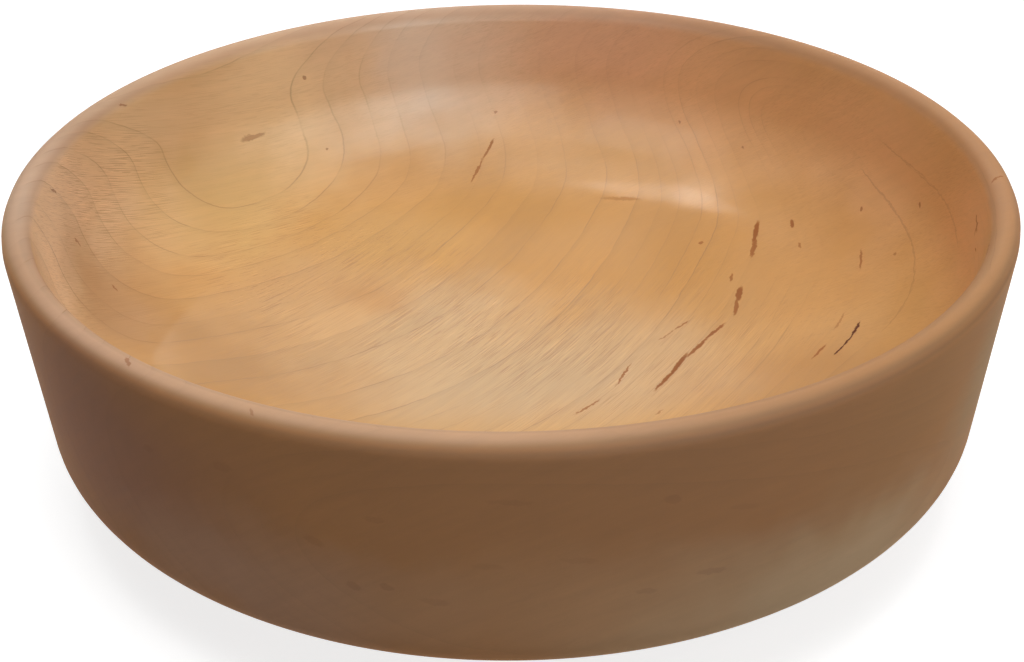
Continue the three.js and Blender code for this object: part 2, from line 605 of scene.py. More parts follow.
# %% [markdown]
# ## Places seen in the photograph
#
# Some marks sit at one spot each: the brown flecks, the black split, the warm and pale areas. The
# photograph shows where. A straight look from the camera through a point of the picture meets the bowl at
# that spot, so the script casts that look and keeps the place it hits. The mark then belongs to the wood,
# whatever the view.

# %% Looks through points of the picture
def seen_at(x, y):
    """The place on the bowl, and the way its surface faces, where a picture point looks."""
    half = SENSOR_WIDTH / 2 / LENS
    across = (2 * x / PHOTO_WIDTH - 1) * half
    up = (1 - 2 * y / PHOTO_HEIGHT) * half * PHOTO_HEIGHT / PHOTO_WIDTH
    turn = camera.matrix_world.to_3x3()
    hit, place, facing, _ = bowl.ray_cast(camera.matrix_world.translation, turn @ Vector((across, up, -1)))
    if not hit:
        raise ValueError(f"picture point {x}, {y} misses the bowl")
    return place, facing


def box_between(start, end, width, depth):
    """A place, a turn and a half size for a mark that runs from one picture point to another."""
    first, facing = seen_at(*start)
    last, _ = seen_at(*end)
    run = last - first
    side = facing.cross(run).normalized()
    out = run.cross(side).normalized()
    turn = Matrix((run.normalized(), side, out)).transposed().to_euler()
    return (first + last) / 2, turn, Vector((run.length / 2, width / 2, depth / 2))


middle = seen_at(PHOTO_WIDTH / 2, PHOTO_HEIGHT / 2)[0]
print("the middle of the picture looks at", [round(v / MM) for v in middle], "mm")

# %% [markdown]
# ## Pith flecks
#
# Birch, alder and maple often carry small brown marks where an insect once fed under the bark and the
# tree healed over. They are thin, follow the fibres, and end in points. Each is a stretched ball of brown
# wood, with its edge roughened by a noise. A drawn picture would be quicker, and would stop at the
# surface's seams.

# %% Fleck group
FLECK_DEPTH = 5 * MM
FLECK_EDGE = (1.15, 0.70)  # where the brown begins and where it is full, as shares of the half size
RAGGED_PER_METRE = 700
RAGGED_REACH = 1.4 * MM


def build_fleck():
    """A stretched ball: 1 inside, 0 outside."""
    inputs = [("Position", "Vector"), ("Place", "Vector"), ("Turn", "Vector"), ("Half Size", "Vector")]
    tree, given, result = new_group("Fleck", inputs, [("Mask", "Float")])
    local = mapped(tree, given["Position"], given["Place"], given["Turn"], given["Half Size"])
    away = vector_calc(tree, "LENGTH", local)
    tree.links.new(ramp(tree, away, *FLECK_EDGE), result["Mask"])
    return tree


def build_flecks(name, marks):
    """All marks of one kind in one group, with ragged edges."""
    tree, given, result = new_group(name, [("Position", "Vector")], [("Mask", "Float")])
    position = pushed(tree, given["Position"], RAGGED_PER_METRE, RAGGED_REACH)
    total = 0.0
    for start, end, width, strength in marks:
        place, turn, half_size = box_between(start, end, width * MM, FLECK_DEPTH)
        mark = use(tree, fleck, Position=position, Place=place, Turn=turn, Half_Size=half_size)["Mask"]
        total = calc(tree, "MAXIMUM", calc(tree, "MULTIPLY", mark, strength), total)
    tree.links.new(total, result["Mask"])
    return tree


fleck = build_fleck()
print("a fleck reaches", FLECK_DEPTH / 2 / MM, "mm into the wood")

# %% [markdown]
# ## Where the flecks are
#
# Each row is one mark: where it starts and ends in the picture, how wide it is in millimetres, and how
# dark. Long or bent flecks are rows that overlap. The same shape, in near black, makes the short split
# low on the right; its near black is painted shade of the narrow gap. Fainter and wider ones lie on the
# outside.

# %% Flecks and the split
BROWN_FLECKS = [
    ((758, 220), (753, 244), 1.7, 0.95), ((756, 238), (751, 258), 1.5, 0.85),
    ((741, 286), (737, 302), 1.9, 0.95), ((738, 298), (734, 316), 1.5, 0.85),
    ((725, 323), (704, 340), 1.3, 0.95), ((708, 337), (686, 358), 1.4, 0.95),
    ((688, 352), (668, 378), 1.7, 1.0), ((676, 368), (654, 391), 1.3, 1.0),
    ((494, 138), (482, 160), 0.9, 0.8), ((483, 158), (471, 183), 0.8, 0.8),
    ((690, 320), (674, 330), 0.7, 0.8), ((674, 330), (658, 341), 0.6, 0.6),
    ((631, 363), (616, 386), 0.8, 0.85), ((601, 399), (574, 415), 0.8, 0.8),
    ((664, 409), (655, 415), 0.6, 0.6), ((826, 344), (812, 359), 1.0, 0.9),
    ((845, 312), (834, 330), 0.9, 0.5), ((861, 249), (860, 270), 0.9, 0.8),
    ((791, 219), (793, 228), 1.1, 0.9), ((799, 242), (801, 248), 0.8, 0.7),
    ((698, 244), (703, 242), 1.2, 0.8), ((732, 273), (731, 282), 1.0, 0.8),
    ((861, 206), (862, 211), 1.2, 0.8), ((919, 202), (920, 208), 1.0, 0.7),
    ((893, 255), (896, 254), 1.0, 0.6), ((679, 120), (680, 123), 0.9, 0.7),
    ((742, 146), (743, 149), 0.9, 0.7), ((494, 111), (497, 113), 0.9, 0.7),
    ((326, 148), (328, 150), 0.9, 0.7), ((303, 77), (306, 79), 0.9, 0.7),
    ((119, 105), (127, 105), 0.8, 0.7), ((976, 214), (977, 232), 0.8, 0.7),
    ((978, 222), (974, 236), 0.8, 0.7), ((989, 244), (986, 256), 0.7, 0.6),
    ((975, 248), (976, 252), 0.7, 0.7), ((74, 238), (81, 246), 0.8, 0.6),
    ((111, 284), (118, 291), 0.8, 0.7), ((50, 188), (57, 193), 0.8, 0.7),
    ((240, 141), (266, 133), 1.6, 0.55), ((244, 136), (256, 138), 1.5, 0.4),
    ((600, 198), (642, 199), 1.4, 0.4), ((991, 184), (1003, 176), 0.7, 0.7),
    # The two rows below are small nicks in the lip; their dark is painted shade of the dents.
    ((126, 357), (129, 367), 0.9, 0.6), ((250, 408), (254, 416), 0.8, 0.45),
]
# The split's near black is painted shade of its narrow gap.
BLACK_SPLIT = [
    ((860, 321), (850, 339), 0.9, 1.0), ((852, 336), (843, 346), 1.0, 1.0),
    ((845, 344), (834, 355), 0.7, 1.0),
]
OUTER_FLECKS = [
    ((143, 447), (152, 449), 2.0, 0.35), ((212, 465), (232, 469), 2.6, 0.35),
    ((303, 536), (325, 546), 2.4, 0.45), ((365, 519), (386, 521), 1.8, 0.35),
    ((345, 582), (362, 590), 2.2, 0.55), ((380, 585), (394, 590), 2.0, 0.55),
    ((485, 502), (535, 503), 1.6, 0.35), ((664, 498), (682, 500), 2.2, 0.5),
    ((696, 573), (726, 569), 1.7, 0.45), ((730, 507), (760, 505), 1.6, 0.3),
    ((634, 592), (658, 590), 1.6, 0.35), ((560, 560), (600, 561), 1.6, 0.25),
    ((420, 600), (450, 604), 2.0, 0.3), ((470, 566), (505, 568), 1.8, 0.25),
]

brown_flecks = build_flecks("Brown Flecks", BROWN_FLECKS)
black_split = build_flecks("Black Split", BLACK_SPLIT)
outer_flecks = build_flecks("Outer Flecks", OUTER_FLECKS)
print(len(BROWN_FLECKS), "brown flecks,", len(OUTER_FLECKS), "faint ones outside")

# %% [markdown]
# ## Two lines on the right wall
#
# Two faint ring lines run down the inside of the right wall where the trunk leaves none, as a real tree
# is less regular than the one that is set here. They are made like flecks: marks that overlap along a row
# of picture points read as one thin line.

# %% Wall lines
NEAR_LINE = [(860, 167), (870, 180), (883, 197), (897, 213), (909, 232), (914, 248), (916, 267), (913, 287),
             (906, 303), (893, 320), (880, 333)]
FAR_LINE = [(880, 140), (897, 155), (913, 170), (930, 182), (943, 197), (952, 213), (957, 233), (958, 250)]


def line_through(points, width, strength):
    """Rows for marks that overlap along a row of picture points. The width is in millimetres."""
    return [(start, end, width, strength) for start, end in zip(points, points[2:])]


wall_marks = line_through(NEAR_LINE, 0.55, 0.8) + line_through(FAR_LINE, 0.5, 0.6)
wall_lines = build_flecks("Wall Lines", wall_marks)
print(len(wall_marks), "marks for two lines on the right wall")

# %% [markdown]
# ## Soft patches
#
# Broad areas that differ a little from the rest, in colour or in how the grain shows, are soft balls in
# space: full in the middle and fading to nothing at the edge. A weight painted on the mesh would do it
# too, but a ball is a few numbers that anyone can change.

# %% Soft Patch group
PATCH_EDGE = (1.0, 0.1)  # where the patch begins and where it is full, as shares of the half size


def build_soft_patch():
    """A stretched ball that fades from its middle to its edge."""
    inputs = [("Position", "Vector"), ("Place", "Vector"), ("Half Size", "Vector")]
    tree, given, result = new_group("Soft Patch", inputs, [("Mask", "Float")])
    away = vector_calc(tree, "SUBTRACT", given["Position"], given["Place"])
    away = vector_calc(tree, "LENGTH", vector_calc(tree, "DIVIDE", away, given["Half Size"]))
    tree.links.new(ramp(tree, away, *PATCH_EDGE), result["Mask"])
    return tree


soft_patch = build_soft_patch()


def patch(tree, position, place, half_size):
    """The mask of one soft patch. The half size is in millimetres."""
    return use(tree, soft_patch, Position=position, Place=place, Half_Size=Vector(half_size) * MM)["Mask"]


print("soft patches ready")

# %% [markdown]
# ## Quiet wood
#
# On the far wall, high on the right and on the near side the photograph shows hardly any ring lines.
# Three large patches hide most of them there. Their places are in millimetres from the middle of the
# foot.

# %% Quiet Wood group
QUIET_AREAS = [  # place and half size in millimetres, how strongly it hides the ring lines
    ((15, 112, 62), (125, 50, 62), 0.92), ((112, 45, 50), (62, 105, 62), 2.2),
    ((0, -130, 35), (160, 80, 80), 0.92),
]


def build_quiet_wood():
    """1 where the ring lines hardly show, 0 elsewhere."""
    tree, given, result = new_group("Quiet Wood", [("Position", "Vector")], [("Mask", "Float")])
    total = 0.0
    for place, half_size, strength in QUIET_AREAS:
        area = patch(tree, given["Position"], Vector(place) * MM, half_size)
        total = calc(tree, "MAXIMUM", calc(tree, "MULTIPLY", area, strength), total)
    tree.links.new(calc(tree, "MINIMUM", total, 1.0), result["Mask"])
    return tree


quiet_wood = build_quiet_wood()
print(len(QUIET_AREAS), "areas of quiet wood")

# %% [markdown]
# ## Open fibres
#
# Where the lathe's tool met the fibres end on, they stand open and show as fine ticks. That is plain on
# the left half of the floor and on the left wall, and weak elsewhere.

# %% Open Fibres group
FIBRE_AREAS = [  # picture point, half size in millimetres, strength
    ((330, 290), (75, 60, 25), 1.0), ((540, 350), (90, 55, 25), 0.9), ((105, 215), (35, 70, 45), 0.6),
    ((720, 330), (50, 60, 25), 0.5),
]
EVERYWHERE = 0.2  # how much the ticks show elsewhere
GAPS_PER_METRE = 40
FIBRE_FADES = (0.35, 0.60, 0.35, 1.0)  # noise from and to, and how much the ticks show there


def build_open_fibres():
    """How much the fine ticks show."""
    tree, given, result = new_group("Open Fibres", [("Position", "Vector")], [("Mask", "Float")])
    total = 0.0
    for point, half_size, strength in FIBRE_AREAS:
        area = patch(tree, given["Position"], seen_at(*point)[0], half_size)
        total = calc(tree, "MAXIMUM", calc(tree, "MULTIPLY", area, strength), total)
    patchy = ramp(tree, noise_node(tree, given["Position"], GAPS_PER_METRE)["Fac"], *FIBRE_FADES)
    shown = calc(tree, "MULTIPLY_ADD", total, 1 - EVERYWHERE, EVERYWHERE)
    tree.links.new(calc(tree, "MULTIPLY", shown, patchy), result["Mask"])
    return tree


open_fibres = build_open_fibres()
print(len(FIBRE_AREAS), "areas of open fibres")

# %% [markdown]
# ## Inside and outside
#
# The inside is oiled and the outside is drier and duller. A surface that faces a point inside the bowl is
# inside, and one that faces away from it is outside, so no second material or marked edge is needed.

# %% Inside group
MIDDLE_HEIGHT = 0.75 * HEIGHT
LIP_BLEND = 20 * MM


def build_inside():
    """1 on the inside of the bowl, 0 on the outside, in between on the lip."""
    inputs = [("Position", "Vector"), ("Normal", "Vector")]
    tree, given, result = new_group("Inside", inputs, [("Mask", "Float")])
    away = vector_calc(tree, "SUBTRACT", given["Position"], (0, 0, MIDDLE_HEIGHT))
    outward = vector_calc(tree, "DOT_PRODUCT", given["Normal"], away)
    tree.links.new(ramp(tree, outward, LIP_BLEND, -LIP_BLEND), result["Mask"])
    return tree


inside_face = build_inside()
print("the inside faces a point", round(MIDDLE_HEIGHT / MM), "mm above the foot")

# %% [markdown]
# ## The worn lip and its painted shade
#
# Hands have rubbed the oil off the lip, so it is duller there. It is darkest on the right, where it shows
# end grain, and darker on the left as painted shade. Its outer edge, most of all on the right, and the
# wall just under it on the near side inside are a little darker too: painted shade. Height, direction and
# the way the surface faces say where each of these is.

# %% Lip Wear group, with painted shade
WORN = (HEIGHT - 4 * MM, HEIGHT - 1 * MM)  # each pair is where the mask begins and where it is full
WORN_LEVEL = (0.45, 0.95)  # levels are 0 on an upright face and 1 on a flat top
PAINTED_EDGE_SHADE_OUTER_LEVEL = (0.0, 0.35)
PAINTED_EDGE_SHADE_INNER_LEVEL = (0.97, 0.65)
PAINTED_SHADE_BELOW_LIP = (HEIGHT - 20 * MM, HEIGHT - 6 * MM)
NEAR_SIDE = (0.0, -70 * MM)
LEFT_SIDE = (-90 * MM, -120 * MM)
RIGHT_SIDE = (-20 * MM, 80 * MM)


def build_lip_wear_and_painted_shade():
    """Mask is 1 on the worn lip, Left and Right at the bowl's sides. The other two are painted shade: one on
    the lip's outer edge, one on the inside wall just under the near lip.
    """
    inputs = [("Position", "Vector"), ("Normal", "Vector"), ("Inside", "Float")]
    outputs = [(title, "Float") for title in ("Mask", "Left", "Right", "Painted Edge Shade", "Painted Shade Below Lip")]
    tree, given, result = new_group("Lip Wear And Painted Shade", inputs, outputs)
    place = parts_of(tree, given["Position"])
    level = vector_calc(tree, "DOT_PRODUCT", given["Normal"], (0, 0, 1))
    rubbed = calc(tree, "MAXIMUM", given["Inside"], ramp(tree, level, *WORN_LEVEL))
    tree.links.new(calc(tree, "MULTIPLY", ramp(tree, place["Z"], *WORN), rubbed), result["Mask"])
    # Painted shade: the lip's outer edge, darkened in colour.
    edge = calc(tree, "MULTIPLY", ramp(tree, level, *PAINTED_EDGE_SHADE_INNER_LEVEL), ramp(tree, level, *PAINTED_EDGE_SHADE_OUTER_LEVEL))
    edge = calc(tree, "MULTIPLY", edge, calc(tree, "SUBTRACT", 1.0, given["Inside"]))
    tree.links.new(edge, result["Painted Edge Shade"])
    # Painted shade: the inside wall just under the near lip.
    painted_shade_below = calc(tree, "MULTIPLY", ramp(tree, place["Z"], *PAINTED_SHADE_BELOW_LIP), given["Inside"])
    painted_shade_below = calc(tree, "MULTIPLY", painted_shade_below, ramp(tree, place["Y"], *NEAR_SIDE))
    tree.links.new(painted_shade_below, result["Painted Shade Below Lip"])
    tree.links.new(ramp(tree, place["X"], *LEFT_SIDE), result["Left"])
    tree.links.new(ramp(tree, place["X"], *RIGHT_SIDE), result["Right"])
    return tree


lip_wear_and_painted_shade = build_lip_wear_and_painted_shade()
print("the lip is worn down to", round((HEIGHT - WORN[0]) / MM), "mm below its top")

# %% [markdown]
# ## Warm and pale areas, and painted light
#
# The wood is not one colour. Broad soft areas lean to gold, orange, rose or grey. The golden ones on the
# floor are the wood's own tone. The pale rose and grey ones on the far and left walls, on the near floor
# and on the right of the outside are partly the wood's tone and partly painted sheen; those on the far
# right wall are partly painted light. Two dark ones just inside the near lip are painted shade, and a
# small pale spot in the far cove is a painted highlight. Each is a soft patch of tint at a place seen in
# the photograph, and a slow noise bends their edges. A tint of the outside is kept off the inside, which
# is only a wall's thickness away.

# %% Wood tints and painted light group
WOOD = (0.600, 0.315, 0.100)
TINTS_WITH_PAINTED_LIGHT = [  # picture point, half size in millimetres, colour, strength
    # The first six rows, on the far and left walls, are paler and rosier: partly the wood's tone, partly
    # painted sheen.
    ((416, 50), (60, 40, 40), (0.76, 0.57, 0.40), 1.0),
    ((640, 40), (85, 40, 40), (0.71, 0.385, 0.210), 1.0),
    ((310, 45), (40, 40, 40), (0.72, 0.43, 0.22), 1.0),
    ((260, 110), (60, 50, 40), (0.85, 0.59, 0.31), 1.0),
    ((134, 150), (45, 50, 45), (0.80, 0.55, 0.30), 1.0),
    ((50, 225), (32, 60, 45), (0.91, 0.655, 0.435), 1.0),
    ((220, 200), (45, 40, 25), (0.66, 0.41, 0.145), 0.8),
    # These three, on the far right wall, are lighter: partly the wood's tone, partly painted light.
    ((740, 100), (50, 40, 40), (0.74, 0.41, 0.19), 0.8),
    ((870, 140), (50, 65, 45), (0.74, 0.41, 0.19), 1.0),
    ((975, 225), (22, 50, 40), (0.75, 0.395, 0.175), 1.0),
    ((530, 215), (75, 45, 25), (0.53, 0.255, 0.048), 1.0),
    ((700, 235), (65, 50, 25), (0.52, 0.243, 0.046), 1.0),
    ((485, 262), (42, 28, 20), (0.51, 0.235, 0.040), 0.8),
    ((620, 295), (50, 32, 20), (0.54, 0.240, 0.030), 0.8),
    ((390, 235), (45, 30, 20), (0.59, 0.305, 0.068), 0.8),
    # These two, on the near floor, are paler and greyer: partly the wood's tone, partly painted sheen.
    ((448, 312), (36, 27, 16), (0.59, 0.365, 0.170), 0.85),
    ((490, 375), (95, 48, 25), (0.56, 0.342, 0.152), 1.0),
    ((820, 270), (45, 45, 25), (0.56, 0.268, 0.064), 0.9),
    # This one and the next, just inside the near lip on the left and the right, are darker: painted shade.
    ((225, 368), (62, 40, 40), (0.41, 0.185, 0.032), 1.0),
    ((800, 380), (45, 30, 30), (0.47, 0.215, 0.048), 0.9),
    ((108, 302), (22, 34, 36), (0.50, 0.275, 0.122), 0.85),
    ((366, 296), (20, 14, 14), (0.49, 0.225, 0.050), 0.7),
    # A small pale spot in the far cove: painted highlight.
    ((708, 190), (17, 12, 12), (0.72, 0.410, 0.180), 0.8),
]
OUTSIDE_TINTS_WITH_PAINTED_SHEEN = [
    # Pale grey low on the right: partly greyer wood, partly painted sheen.
    ((810, 590), (85, 60, 32), (0.83, 0.68, 0.46), 1.0),
    ((95, 440), (60, 75, 50), (0.40, 0.205, 0.110), 1.0),
    ((255, 585), (60, 50, 25), (0.65, 0.43, 0.31), 0.8),
    ((560, 610), (90, 50, 22), (0.70, 0.44, 0.22), 0.6),
    ((930, 410), (45, 60, 35), (0.57, 0.31, 0.095), 1.0),
    # Pale at the right edge: painted sheen.
    ((985, 370), (20, 45, 40), (0.52, 0.36, 0.17), 0.9),
]
BENDS_PER_METRE = 45
BEND_REACH = 22 * MM


def mix(tree, factor, first, second, blend="MIX"):
    """Two colours mixed by a factor."""
    node = tree.nodes.new("ShaderNodeMix")
    node.data_type = "RGBA"
    node.blend_type = blend
    for socket, value in zip((node.inputs[0], node.inputs[6], node.inputs[7]), (factor, first, second)):
        feed(tree, socket, value)
    return node.outputs[2]


def build_wood_tints_and_painted_light():
    """The plain wood colour with its broad areas of tint, some of them painted sheen, light, shade and
    highlight.
    """
    inputs = [("Position", "Vector"), ("Outside", "Float")]
    tree, given, result = new_group("Wood Tints And Painted Light", inputs, [("Color", "Color")])
    position = pushed(tree, given["Position"], BENDS_PER_METRE, BEND_REACH)
    colour = (*WOOD, 1)
    for tints, side in ((TINTS_WITH_PAINTED_LIGHT, 1.0), (OUTSIDE_TINTS_WITH_PAINTED_SHEEN, given["Outside"])):
        for point, half_size, tint, strength in tints:
            area = patch(tree, position, seen_at(*point)[0], half_size)
            amount = calc(tree, "MULTIPLY", calc(tree, "MULTIPLY", area, strength), side)
            colour = mix(tree, amount, colour, (*tint, 1))
    feed(tree, result["Color"], colour)
    return tree


wood_tints_and_painted_light = build_wood_tints_and_painted_light()
print(len(TINTS_WITH_PAINTED_LIGHT), "areas of tint inside,", len(OUTSIDE_TINTS_WITH_PAINTED_SHEEN), "outside")

# %% [markdown]
# ## The wood material: where the surface is
#
# The material first asks where it is: inside or outside, on the worn lip, in quiet wood? Each answer is a
# mask from 0 to 1. The ring lines are hushed in quiet wood and on the outside, where the finish is dull.

# %% Start the wood
OUTSIDE_HUSH = 0.85


def product(tree, first, *others):
    """Several numbers multiplied."""
    for other in others:
        first = calc(tree, "MULTIPLY", first, other)
    return first


def without(tree, mask, share=1.0):
    """1 where the mask is 0, and less by the share where it is 1."""
    return calc(tree, "MULTIPLY_ADD", mask, -share, 1.0)


wood = bpy.data.materials.new("wood")
wood.use_nodes = True
bowl.data.materials.append(wood)
tree = wood.node_tree
here = tree.nodes.new("ShaderNodeTexCoord").outputs["Object"]
facing = tree.nodes.new("ShaderNodeNewGeometry").outputs["Normal"]
inside = use(tree, inside_face, Position=here, Normal=facing)["Mask"]
outside = without(tree, inside)
lip = use(tree, lip_wear_and_painted_shade, Position=here, Normal=facing, Inside=inside)
worn = lip["Mask"]
smooth = calc(tree, "MAXIMUM", worn, outside)
quiet = use(tree, quiet_wood, Position=here)["Mask"]
hush = calc(tree, "MAXIMUM", quiet, product(tree, outside, OUTSIDE_HUSH))
loud = without(tree, hush)
print("the wood's places take", len(tree.nodes), "nodes")

# %% [markdown]
# ## The wood material: its grain
#
# Next come the rings and the fibres. Hair-thin dark and pale ticks are the two ends of the same streaks,
# and bands are much wider and softer ones. Ticks fade where the wood is smooth from hands or from
# sanding.

# %% Gather the grain
WALL_LINE_STRENGTH = 0.45
LATE_HUSHED = 0.7
TICKS_SMOOTHED = 0.7
OUTER_FLECK_STRENGTH = 0.38
DARK_TICKS = (0.59, 0.67)  # where a tick begins and where it is full, as values of a streak
PALE_TICKS = (0.40, 0.26)
CLOUDS_PER_METRE = 30

rings = use(tree, growth_rings, Position=here, Normal=facing)
placed = product(tree, use(tree, wall_lines, Position=here)["Mask"], WALL_LINE_STRENGTH)
lines = calc(tree, "MAXIMUM", product(tree, rings["Lines"], loud), placed)
late = product(tree, rings["Late Wood"], without(tree, hush, LATE_HUSHED))
year = product(tree, calc(tree, "SUBTRACT", rings["Year Tone"], 0.5), loud)

ticks = use(tree, streaks, Position=here, Length=10 * MM, Width=0.23 * MM, Detail=0.0)["Value"]
bands = use(tree, streaks, Position=here, Length=60 * MM, Width=2.0 * MM, Detail=3.0)["Value"]
shown = product(tree, use(tree, open_fibres, Position=here)["Mask"], without(tree, smooth, TICKS_SMOOTHED))
dark_tick = product(tree, ramp(tree, ticks, *DARK_TICKS), shown)
pale_tick = product(tree, ramp(tree, ticks, *PALE_TICKS), shown)
cloud = noise_node(tree, here, CLOUDS_PER_METRE, 3)["Fac"]

brown = use(tree, brown_flecks, Position=here)["Mask"]
outer = product(tree, use(tree, outer_flecks, Position=here)["Mask"], OUTER_FLECK_STRENGTH)
split = use(tree, black_split, Position=here)["Mask"]
print("with its grain it has", len(tree.nodes), "nodes")

# %% [markdown]
# ## The wood material: its colour
#
# The recipe in order: tinted wood with its painted light, the lip's own colour with painted shade on its
# left, and the outside darkened as painted shade. Then a list of gentle shades, each a little lighter or
# darker than the wood; those under the near lip and on the lip's outer edge are painted shade. Last come
# the thin dark things: ticks, ring lines, flecks, split, whose near black is painted shade of its gap.

# %% Mix the colour
LIP_COLOUR = (0.53, 0.300, 0.178)
# Painted shade: the left lip is given a darker colour than the rest of the lip.
LIP_COLOUR_LEFT_PAINTED_SHADE = (0.40, 0.215, 0.125)
LIP_COLOUR_RIGHT = (0.36, 0.148, 0.050)
LIP_STRENGTH = 0.75
# Painted shade: the outside wall stands in shade, and its colour is darkened by this.
OUTSIDE_PAINTED_SHADE = (0.97, 0.75, 0.57)
SHADES_AND_PAINTED_SHADE = [  # what changes, brightness where it is 0, brightness where it is 1
    # the lip entries on this line and the next darken under the near lip and the lip's outer edge, more on
    # the right: painted shade
    (year, 1.0, 1.07), (lip["Painted Shade Below Lip"], 1.0, 0.87), (lip["Painted Edge Shade"], 1.0, 0.77),
    (product(tree, lip["Painted Edge Shade"], lip["Right"]), 1.0, 0.84), (cloud, 0.90, 1.10), (bands, 0.93, 1.07),
    (late, 1.0, 0.91), (pale_tick, 1.0, 1.15),
]
DARK_MARKS = [  # where, how strongly, colour
    (dark_tick, 0.5, (0.34, 0.140, 0.040)), (lines, 0.78, (0.30, 0.128, 0.040)),
    # The split on this line is near black as painted shade of its gap.
    (calc(tree, "MAXIMUM", brown, outer), 0.84, (0.27, 0.070, 0.012)), (split, 0.95, (0.09, 0.012, 0.0)),
]


def grey_of(tree, value):
    """A grey as bright as the value."""
    node = tree.nodes.new("ShaderNodeCombineColor")
    for socket in node.inputs:
        tree.links.new(value, socket)
    return node.outputs["Color"]


def scaled(tree, colour, amount, low, high):
    """A colour made darker or lighter by a value from 0 to 1."""
    shade = calc(tree, "MULTIPLY_ADD", amount, high - low, low)
    return mix(tree, 1.0, colour, grey_of(tree, shade), "MULTIPLY")


colour = use(tree, wood_tints_and_painted_light, Position=here, Outside=outside)["Color"]
lip_colour = mix(tree, lip["Right"], (*LIP_COLOUR, 1), (*LIP_COLOUR_RIGHT, 1))
# The left lip's darker colour is painted shade.
lip_colour = mix(tree, lip["Left"], lip_colour, (*LIP_COLOUR_LEFT_PAINTED_SHADE, 1))
colour = mix(tree, product(tree, worn, LIP_STRENGTH), colour, lip_colour)
# The outside below the lip is darkened in colour here: painted shade.
painted_shade_outside = product(tree, outside, without(tree, worn))
colour = mix(tree, painted_shade_outside, colour, (*OUTSIDE_PAINTED_SHADE, 1), "MULTIPLY")
for amount, low, high in SHADES_AND_PAINTED_SHADE:
    colour = scaled(tree, colour, amount, low, high)
for mask, strength, dark in DARK_MARKS:
    colour = mix(tree, product(tree, mask, strength), colour, (*dark, 1))
print(len(SHADES_AND_PAINTED_SHADE), "shades and", len(DARK_MARKS), "kinds of dark mark")

# %% [markdown]
# ## The wood material: its shine and relief
#
# The finish is a thin oil with a soft shine: a low specular level, and a weak smooth coat on the inside,
# as a strong one looks like varnish. Flecks and the split took no oil, so they are matt. The ticks stand
# up or lie lower by less than a tenth of a millimetre, and catch the light. The split is the deepest.

# %% Finish the wood
MATT = 0.90
OILED = 0.45
BAND_ROUGHNESS = 0.10
SMOOTH_ROUGHNESS = 0.25
SPECULAR = 0.30
COAT = 0.12
COAT_ROUGHNESS = 0.13
SPLIT_DEPTH = 3.0
RELIEF_STRENGTH = 0.5
RELIEF = 0.08 * MM

shader = tree.nodes["Principled BSDF"]
tree.links.new(colour, shader.inputs["Base Color"])
dry = calc(tree, "MAXIMUM", brown, split)
rough = calc(tree, "MULTIPLY_ADD", bands, BAND_ROUGHNESS, ramp(tree, dry, 0.0, 1.0, OILED, MATT))
rough = calc(tree, "MULTIPLY_ADD", smooth, SMOOTH_ROUGHNESS, rough)
tree.links.new(rough, shader.inputs["Roughness"])
shader.inputs["Specular IOR Level"].default_value = SPECULAR
oil = product(tree, inside, without(tree, worn), without(tree, dry), COAT)
tree.links.new(oil, shader.inputs["Coat Weight"])
shader.inputs["Coat Roughness"].default_value = COAT_ROUGHNESS

bump = tree.nodes.new("ShaderNodeBump")
bump.inputs["Strength"].default_value = RELIEF_STRENGTH
bump.inputs["Distance"].default_value = RELIEF
height = calc(tree, "MULTIPLY_ADD", split, -SPLIT_DEPTH, calc(tree, "SUBTRACT", pale_tick, dark_tick))
tree.links.new(height, bump.inputs["Height"])
tree.links.new(bump.outputs["Normal"], shader.inputs["Normal"])
print("the finished wood has", len(tree.nodes), "nodes at its top level")

# %% [markdown]
# ## The floor
#
# The photograph is cut out on white. The floor is white only for a look that comes straight from the
# camera or off a shiny surface. For the light that bounces, it is a plain mid grey, as the bowl's near
# side stands in soft shade in the photograph. The bowl's shadow stays on the floor.

# %% White for the eye, grey for the light
FLOOR_REACH = 4
FLOOR_GREY = 0.30
FLOOR_SEEN = 0.50
FLOOR_GLOW = 0.80


def add_look_test(tree):
    """1 for a camera, glossy or transmission ray, else 0."""
    path = tree.nodes.new("ShaderNodeLightPath").outputs
    shiny = calc(tree, "MAXIMUM", path["Is Glossy Ray"], path["Is Transmission Ray"])
    return calc(tree, "MAXIMUM", path["Is Camera Ray"], shiny)


def build_floor():
    """A large sheet with a glow for the camera and a dull surface for everything else."""
    mesh = bpy.data.meshes.new("floor")
    corners = [(x * FLOOR_REACH, y * FLOOR_REACH, 0) for x, y in ((-1, -1), (1, -1), (1, 1), (-1, 1))]
    mesh.from_pydata(corners, [], [(0, 1, 2, 3)])
    sheet = bpy.data.objects.new("floor", mesh)
    bpy.context.scene.collection.objects.link(sheet)
    material = bpy.data.materials.new("floor")
    material.use_nodes = True
    tree = material.node_tree
    shader = tree.nodes["Principled BSDF"]
    look = add_look_test(tree)
    dull = calc(tree, "MULTIPLY_ADD", look, FLOOR_SEEN - FLOOR_GREY, FLOOR_GREY)
    tree.links.new(grey_of(tree, dull), shader.inputs["Base Color"])
    shader.inputs["Roughness"].default_value = 1.0
    shader.inputs["Specular IOR Level"].default_value = 0.0
    shader.inputs["Emission Color"].default_value = (1, 1, 1, 1)
    tree.links.new(calc(tree, "MULTIPLY", look, FLOOR_GLOW), shader.inputs["Emission Strength"])
    mesh.materials.append(material)
    return sheet


floor = build_floor()
print("the floor is", round(floor.dimensions.x), "m wide")

# %% [markdown]
# ## The sky
#
# Behind the floor's far edge the camera sees the world, which is white in the same way. For the light it
# gives only a trace of grey, so that the lamps alone shape the bowl.

# %% White behind the bowl
SKY_LIGHT = 0.02


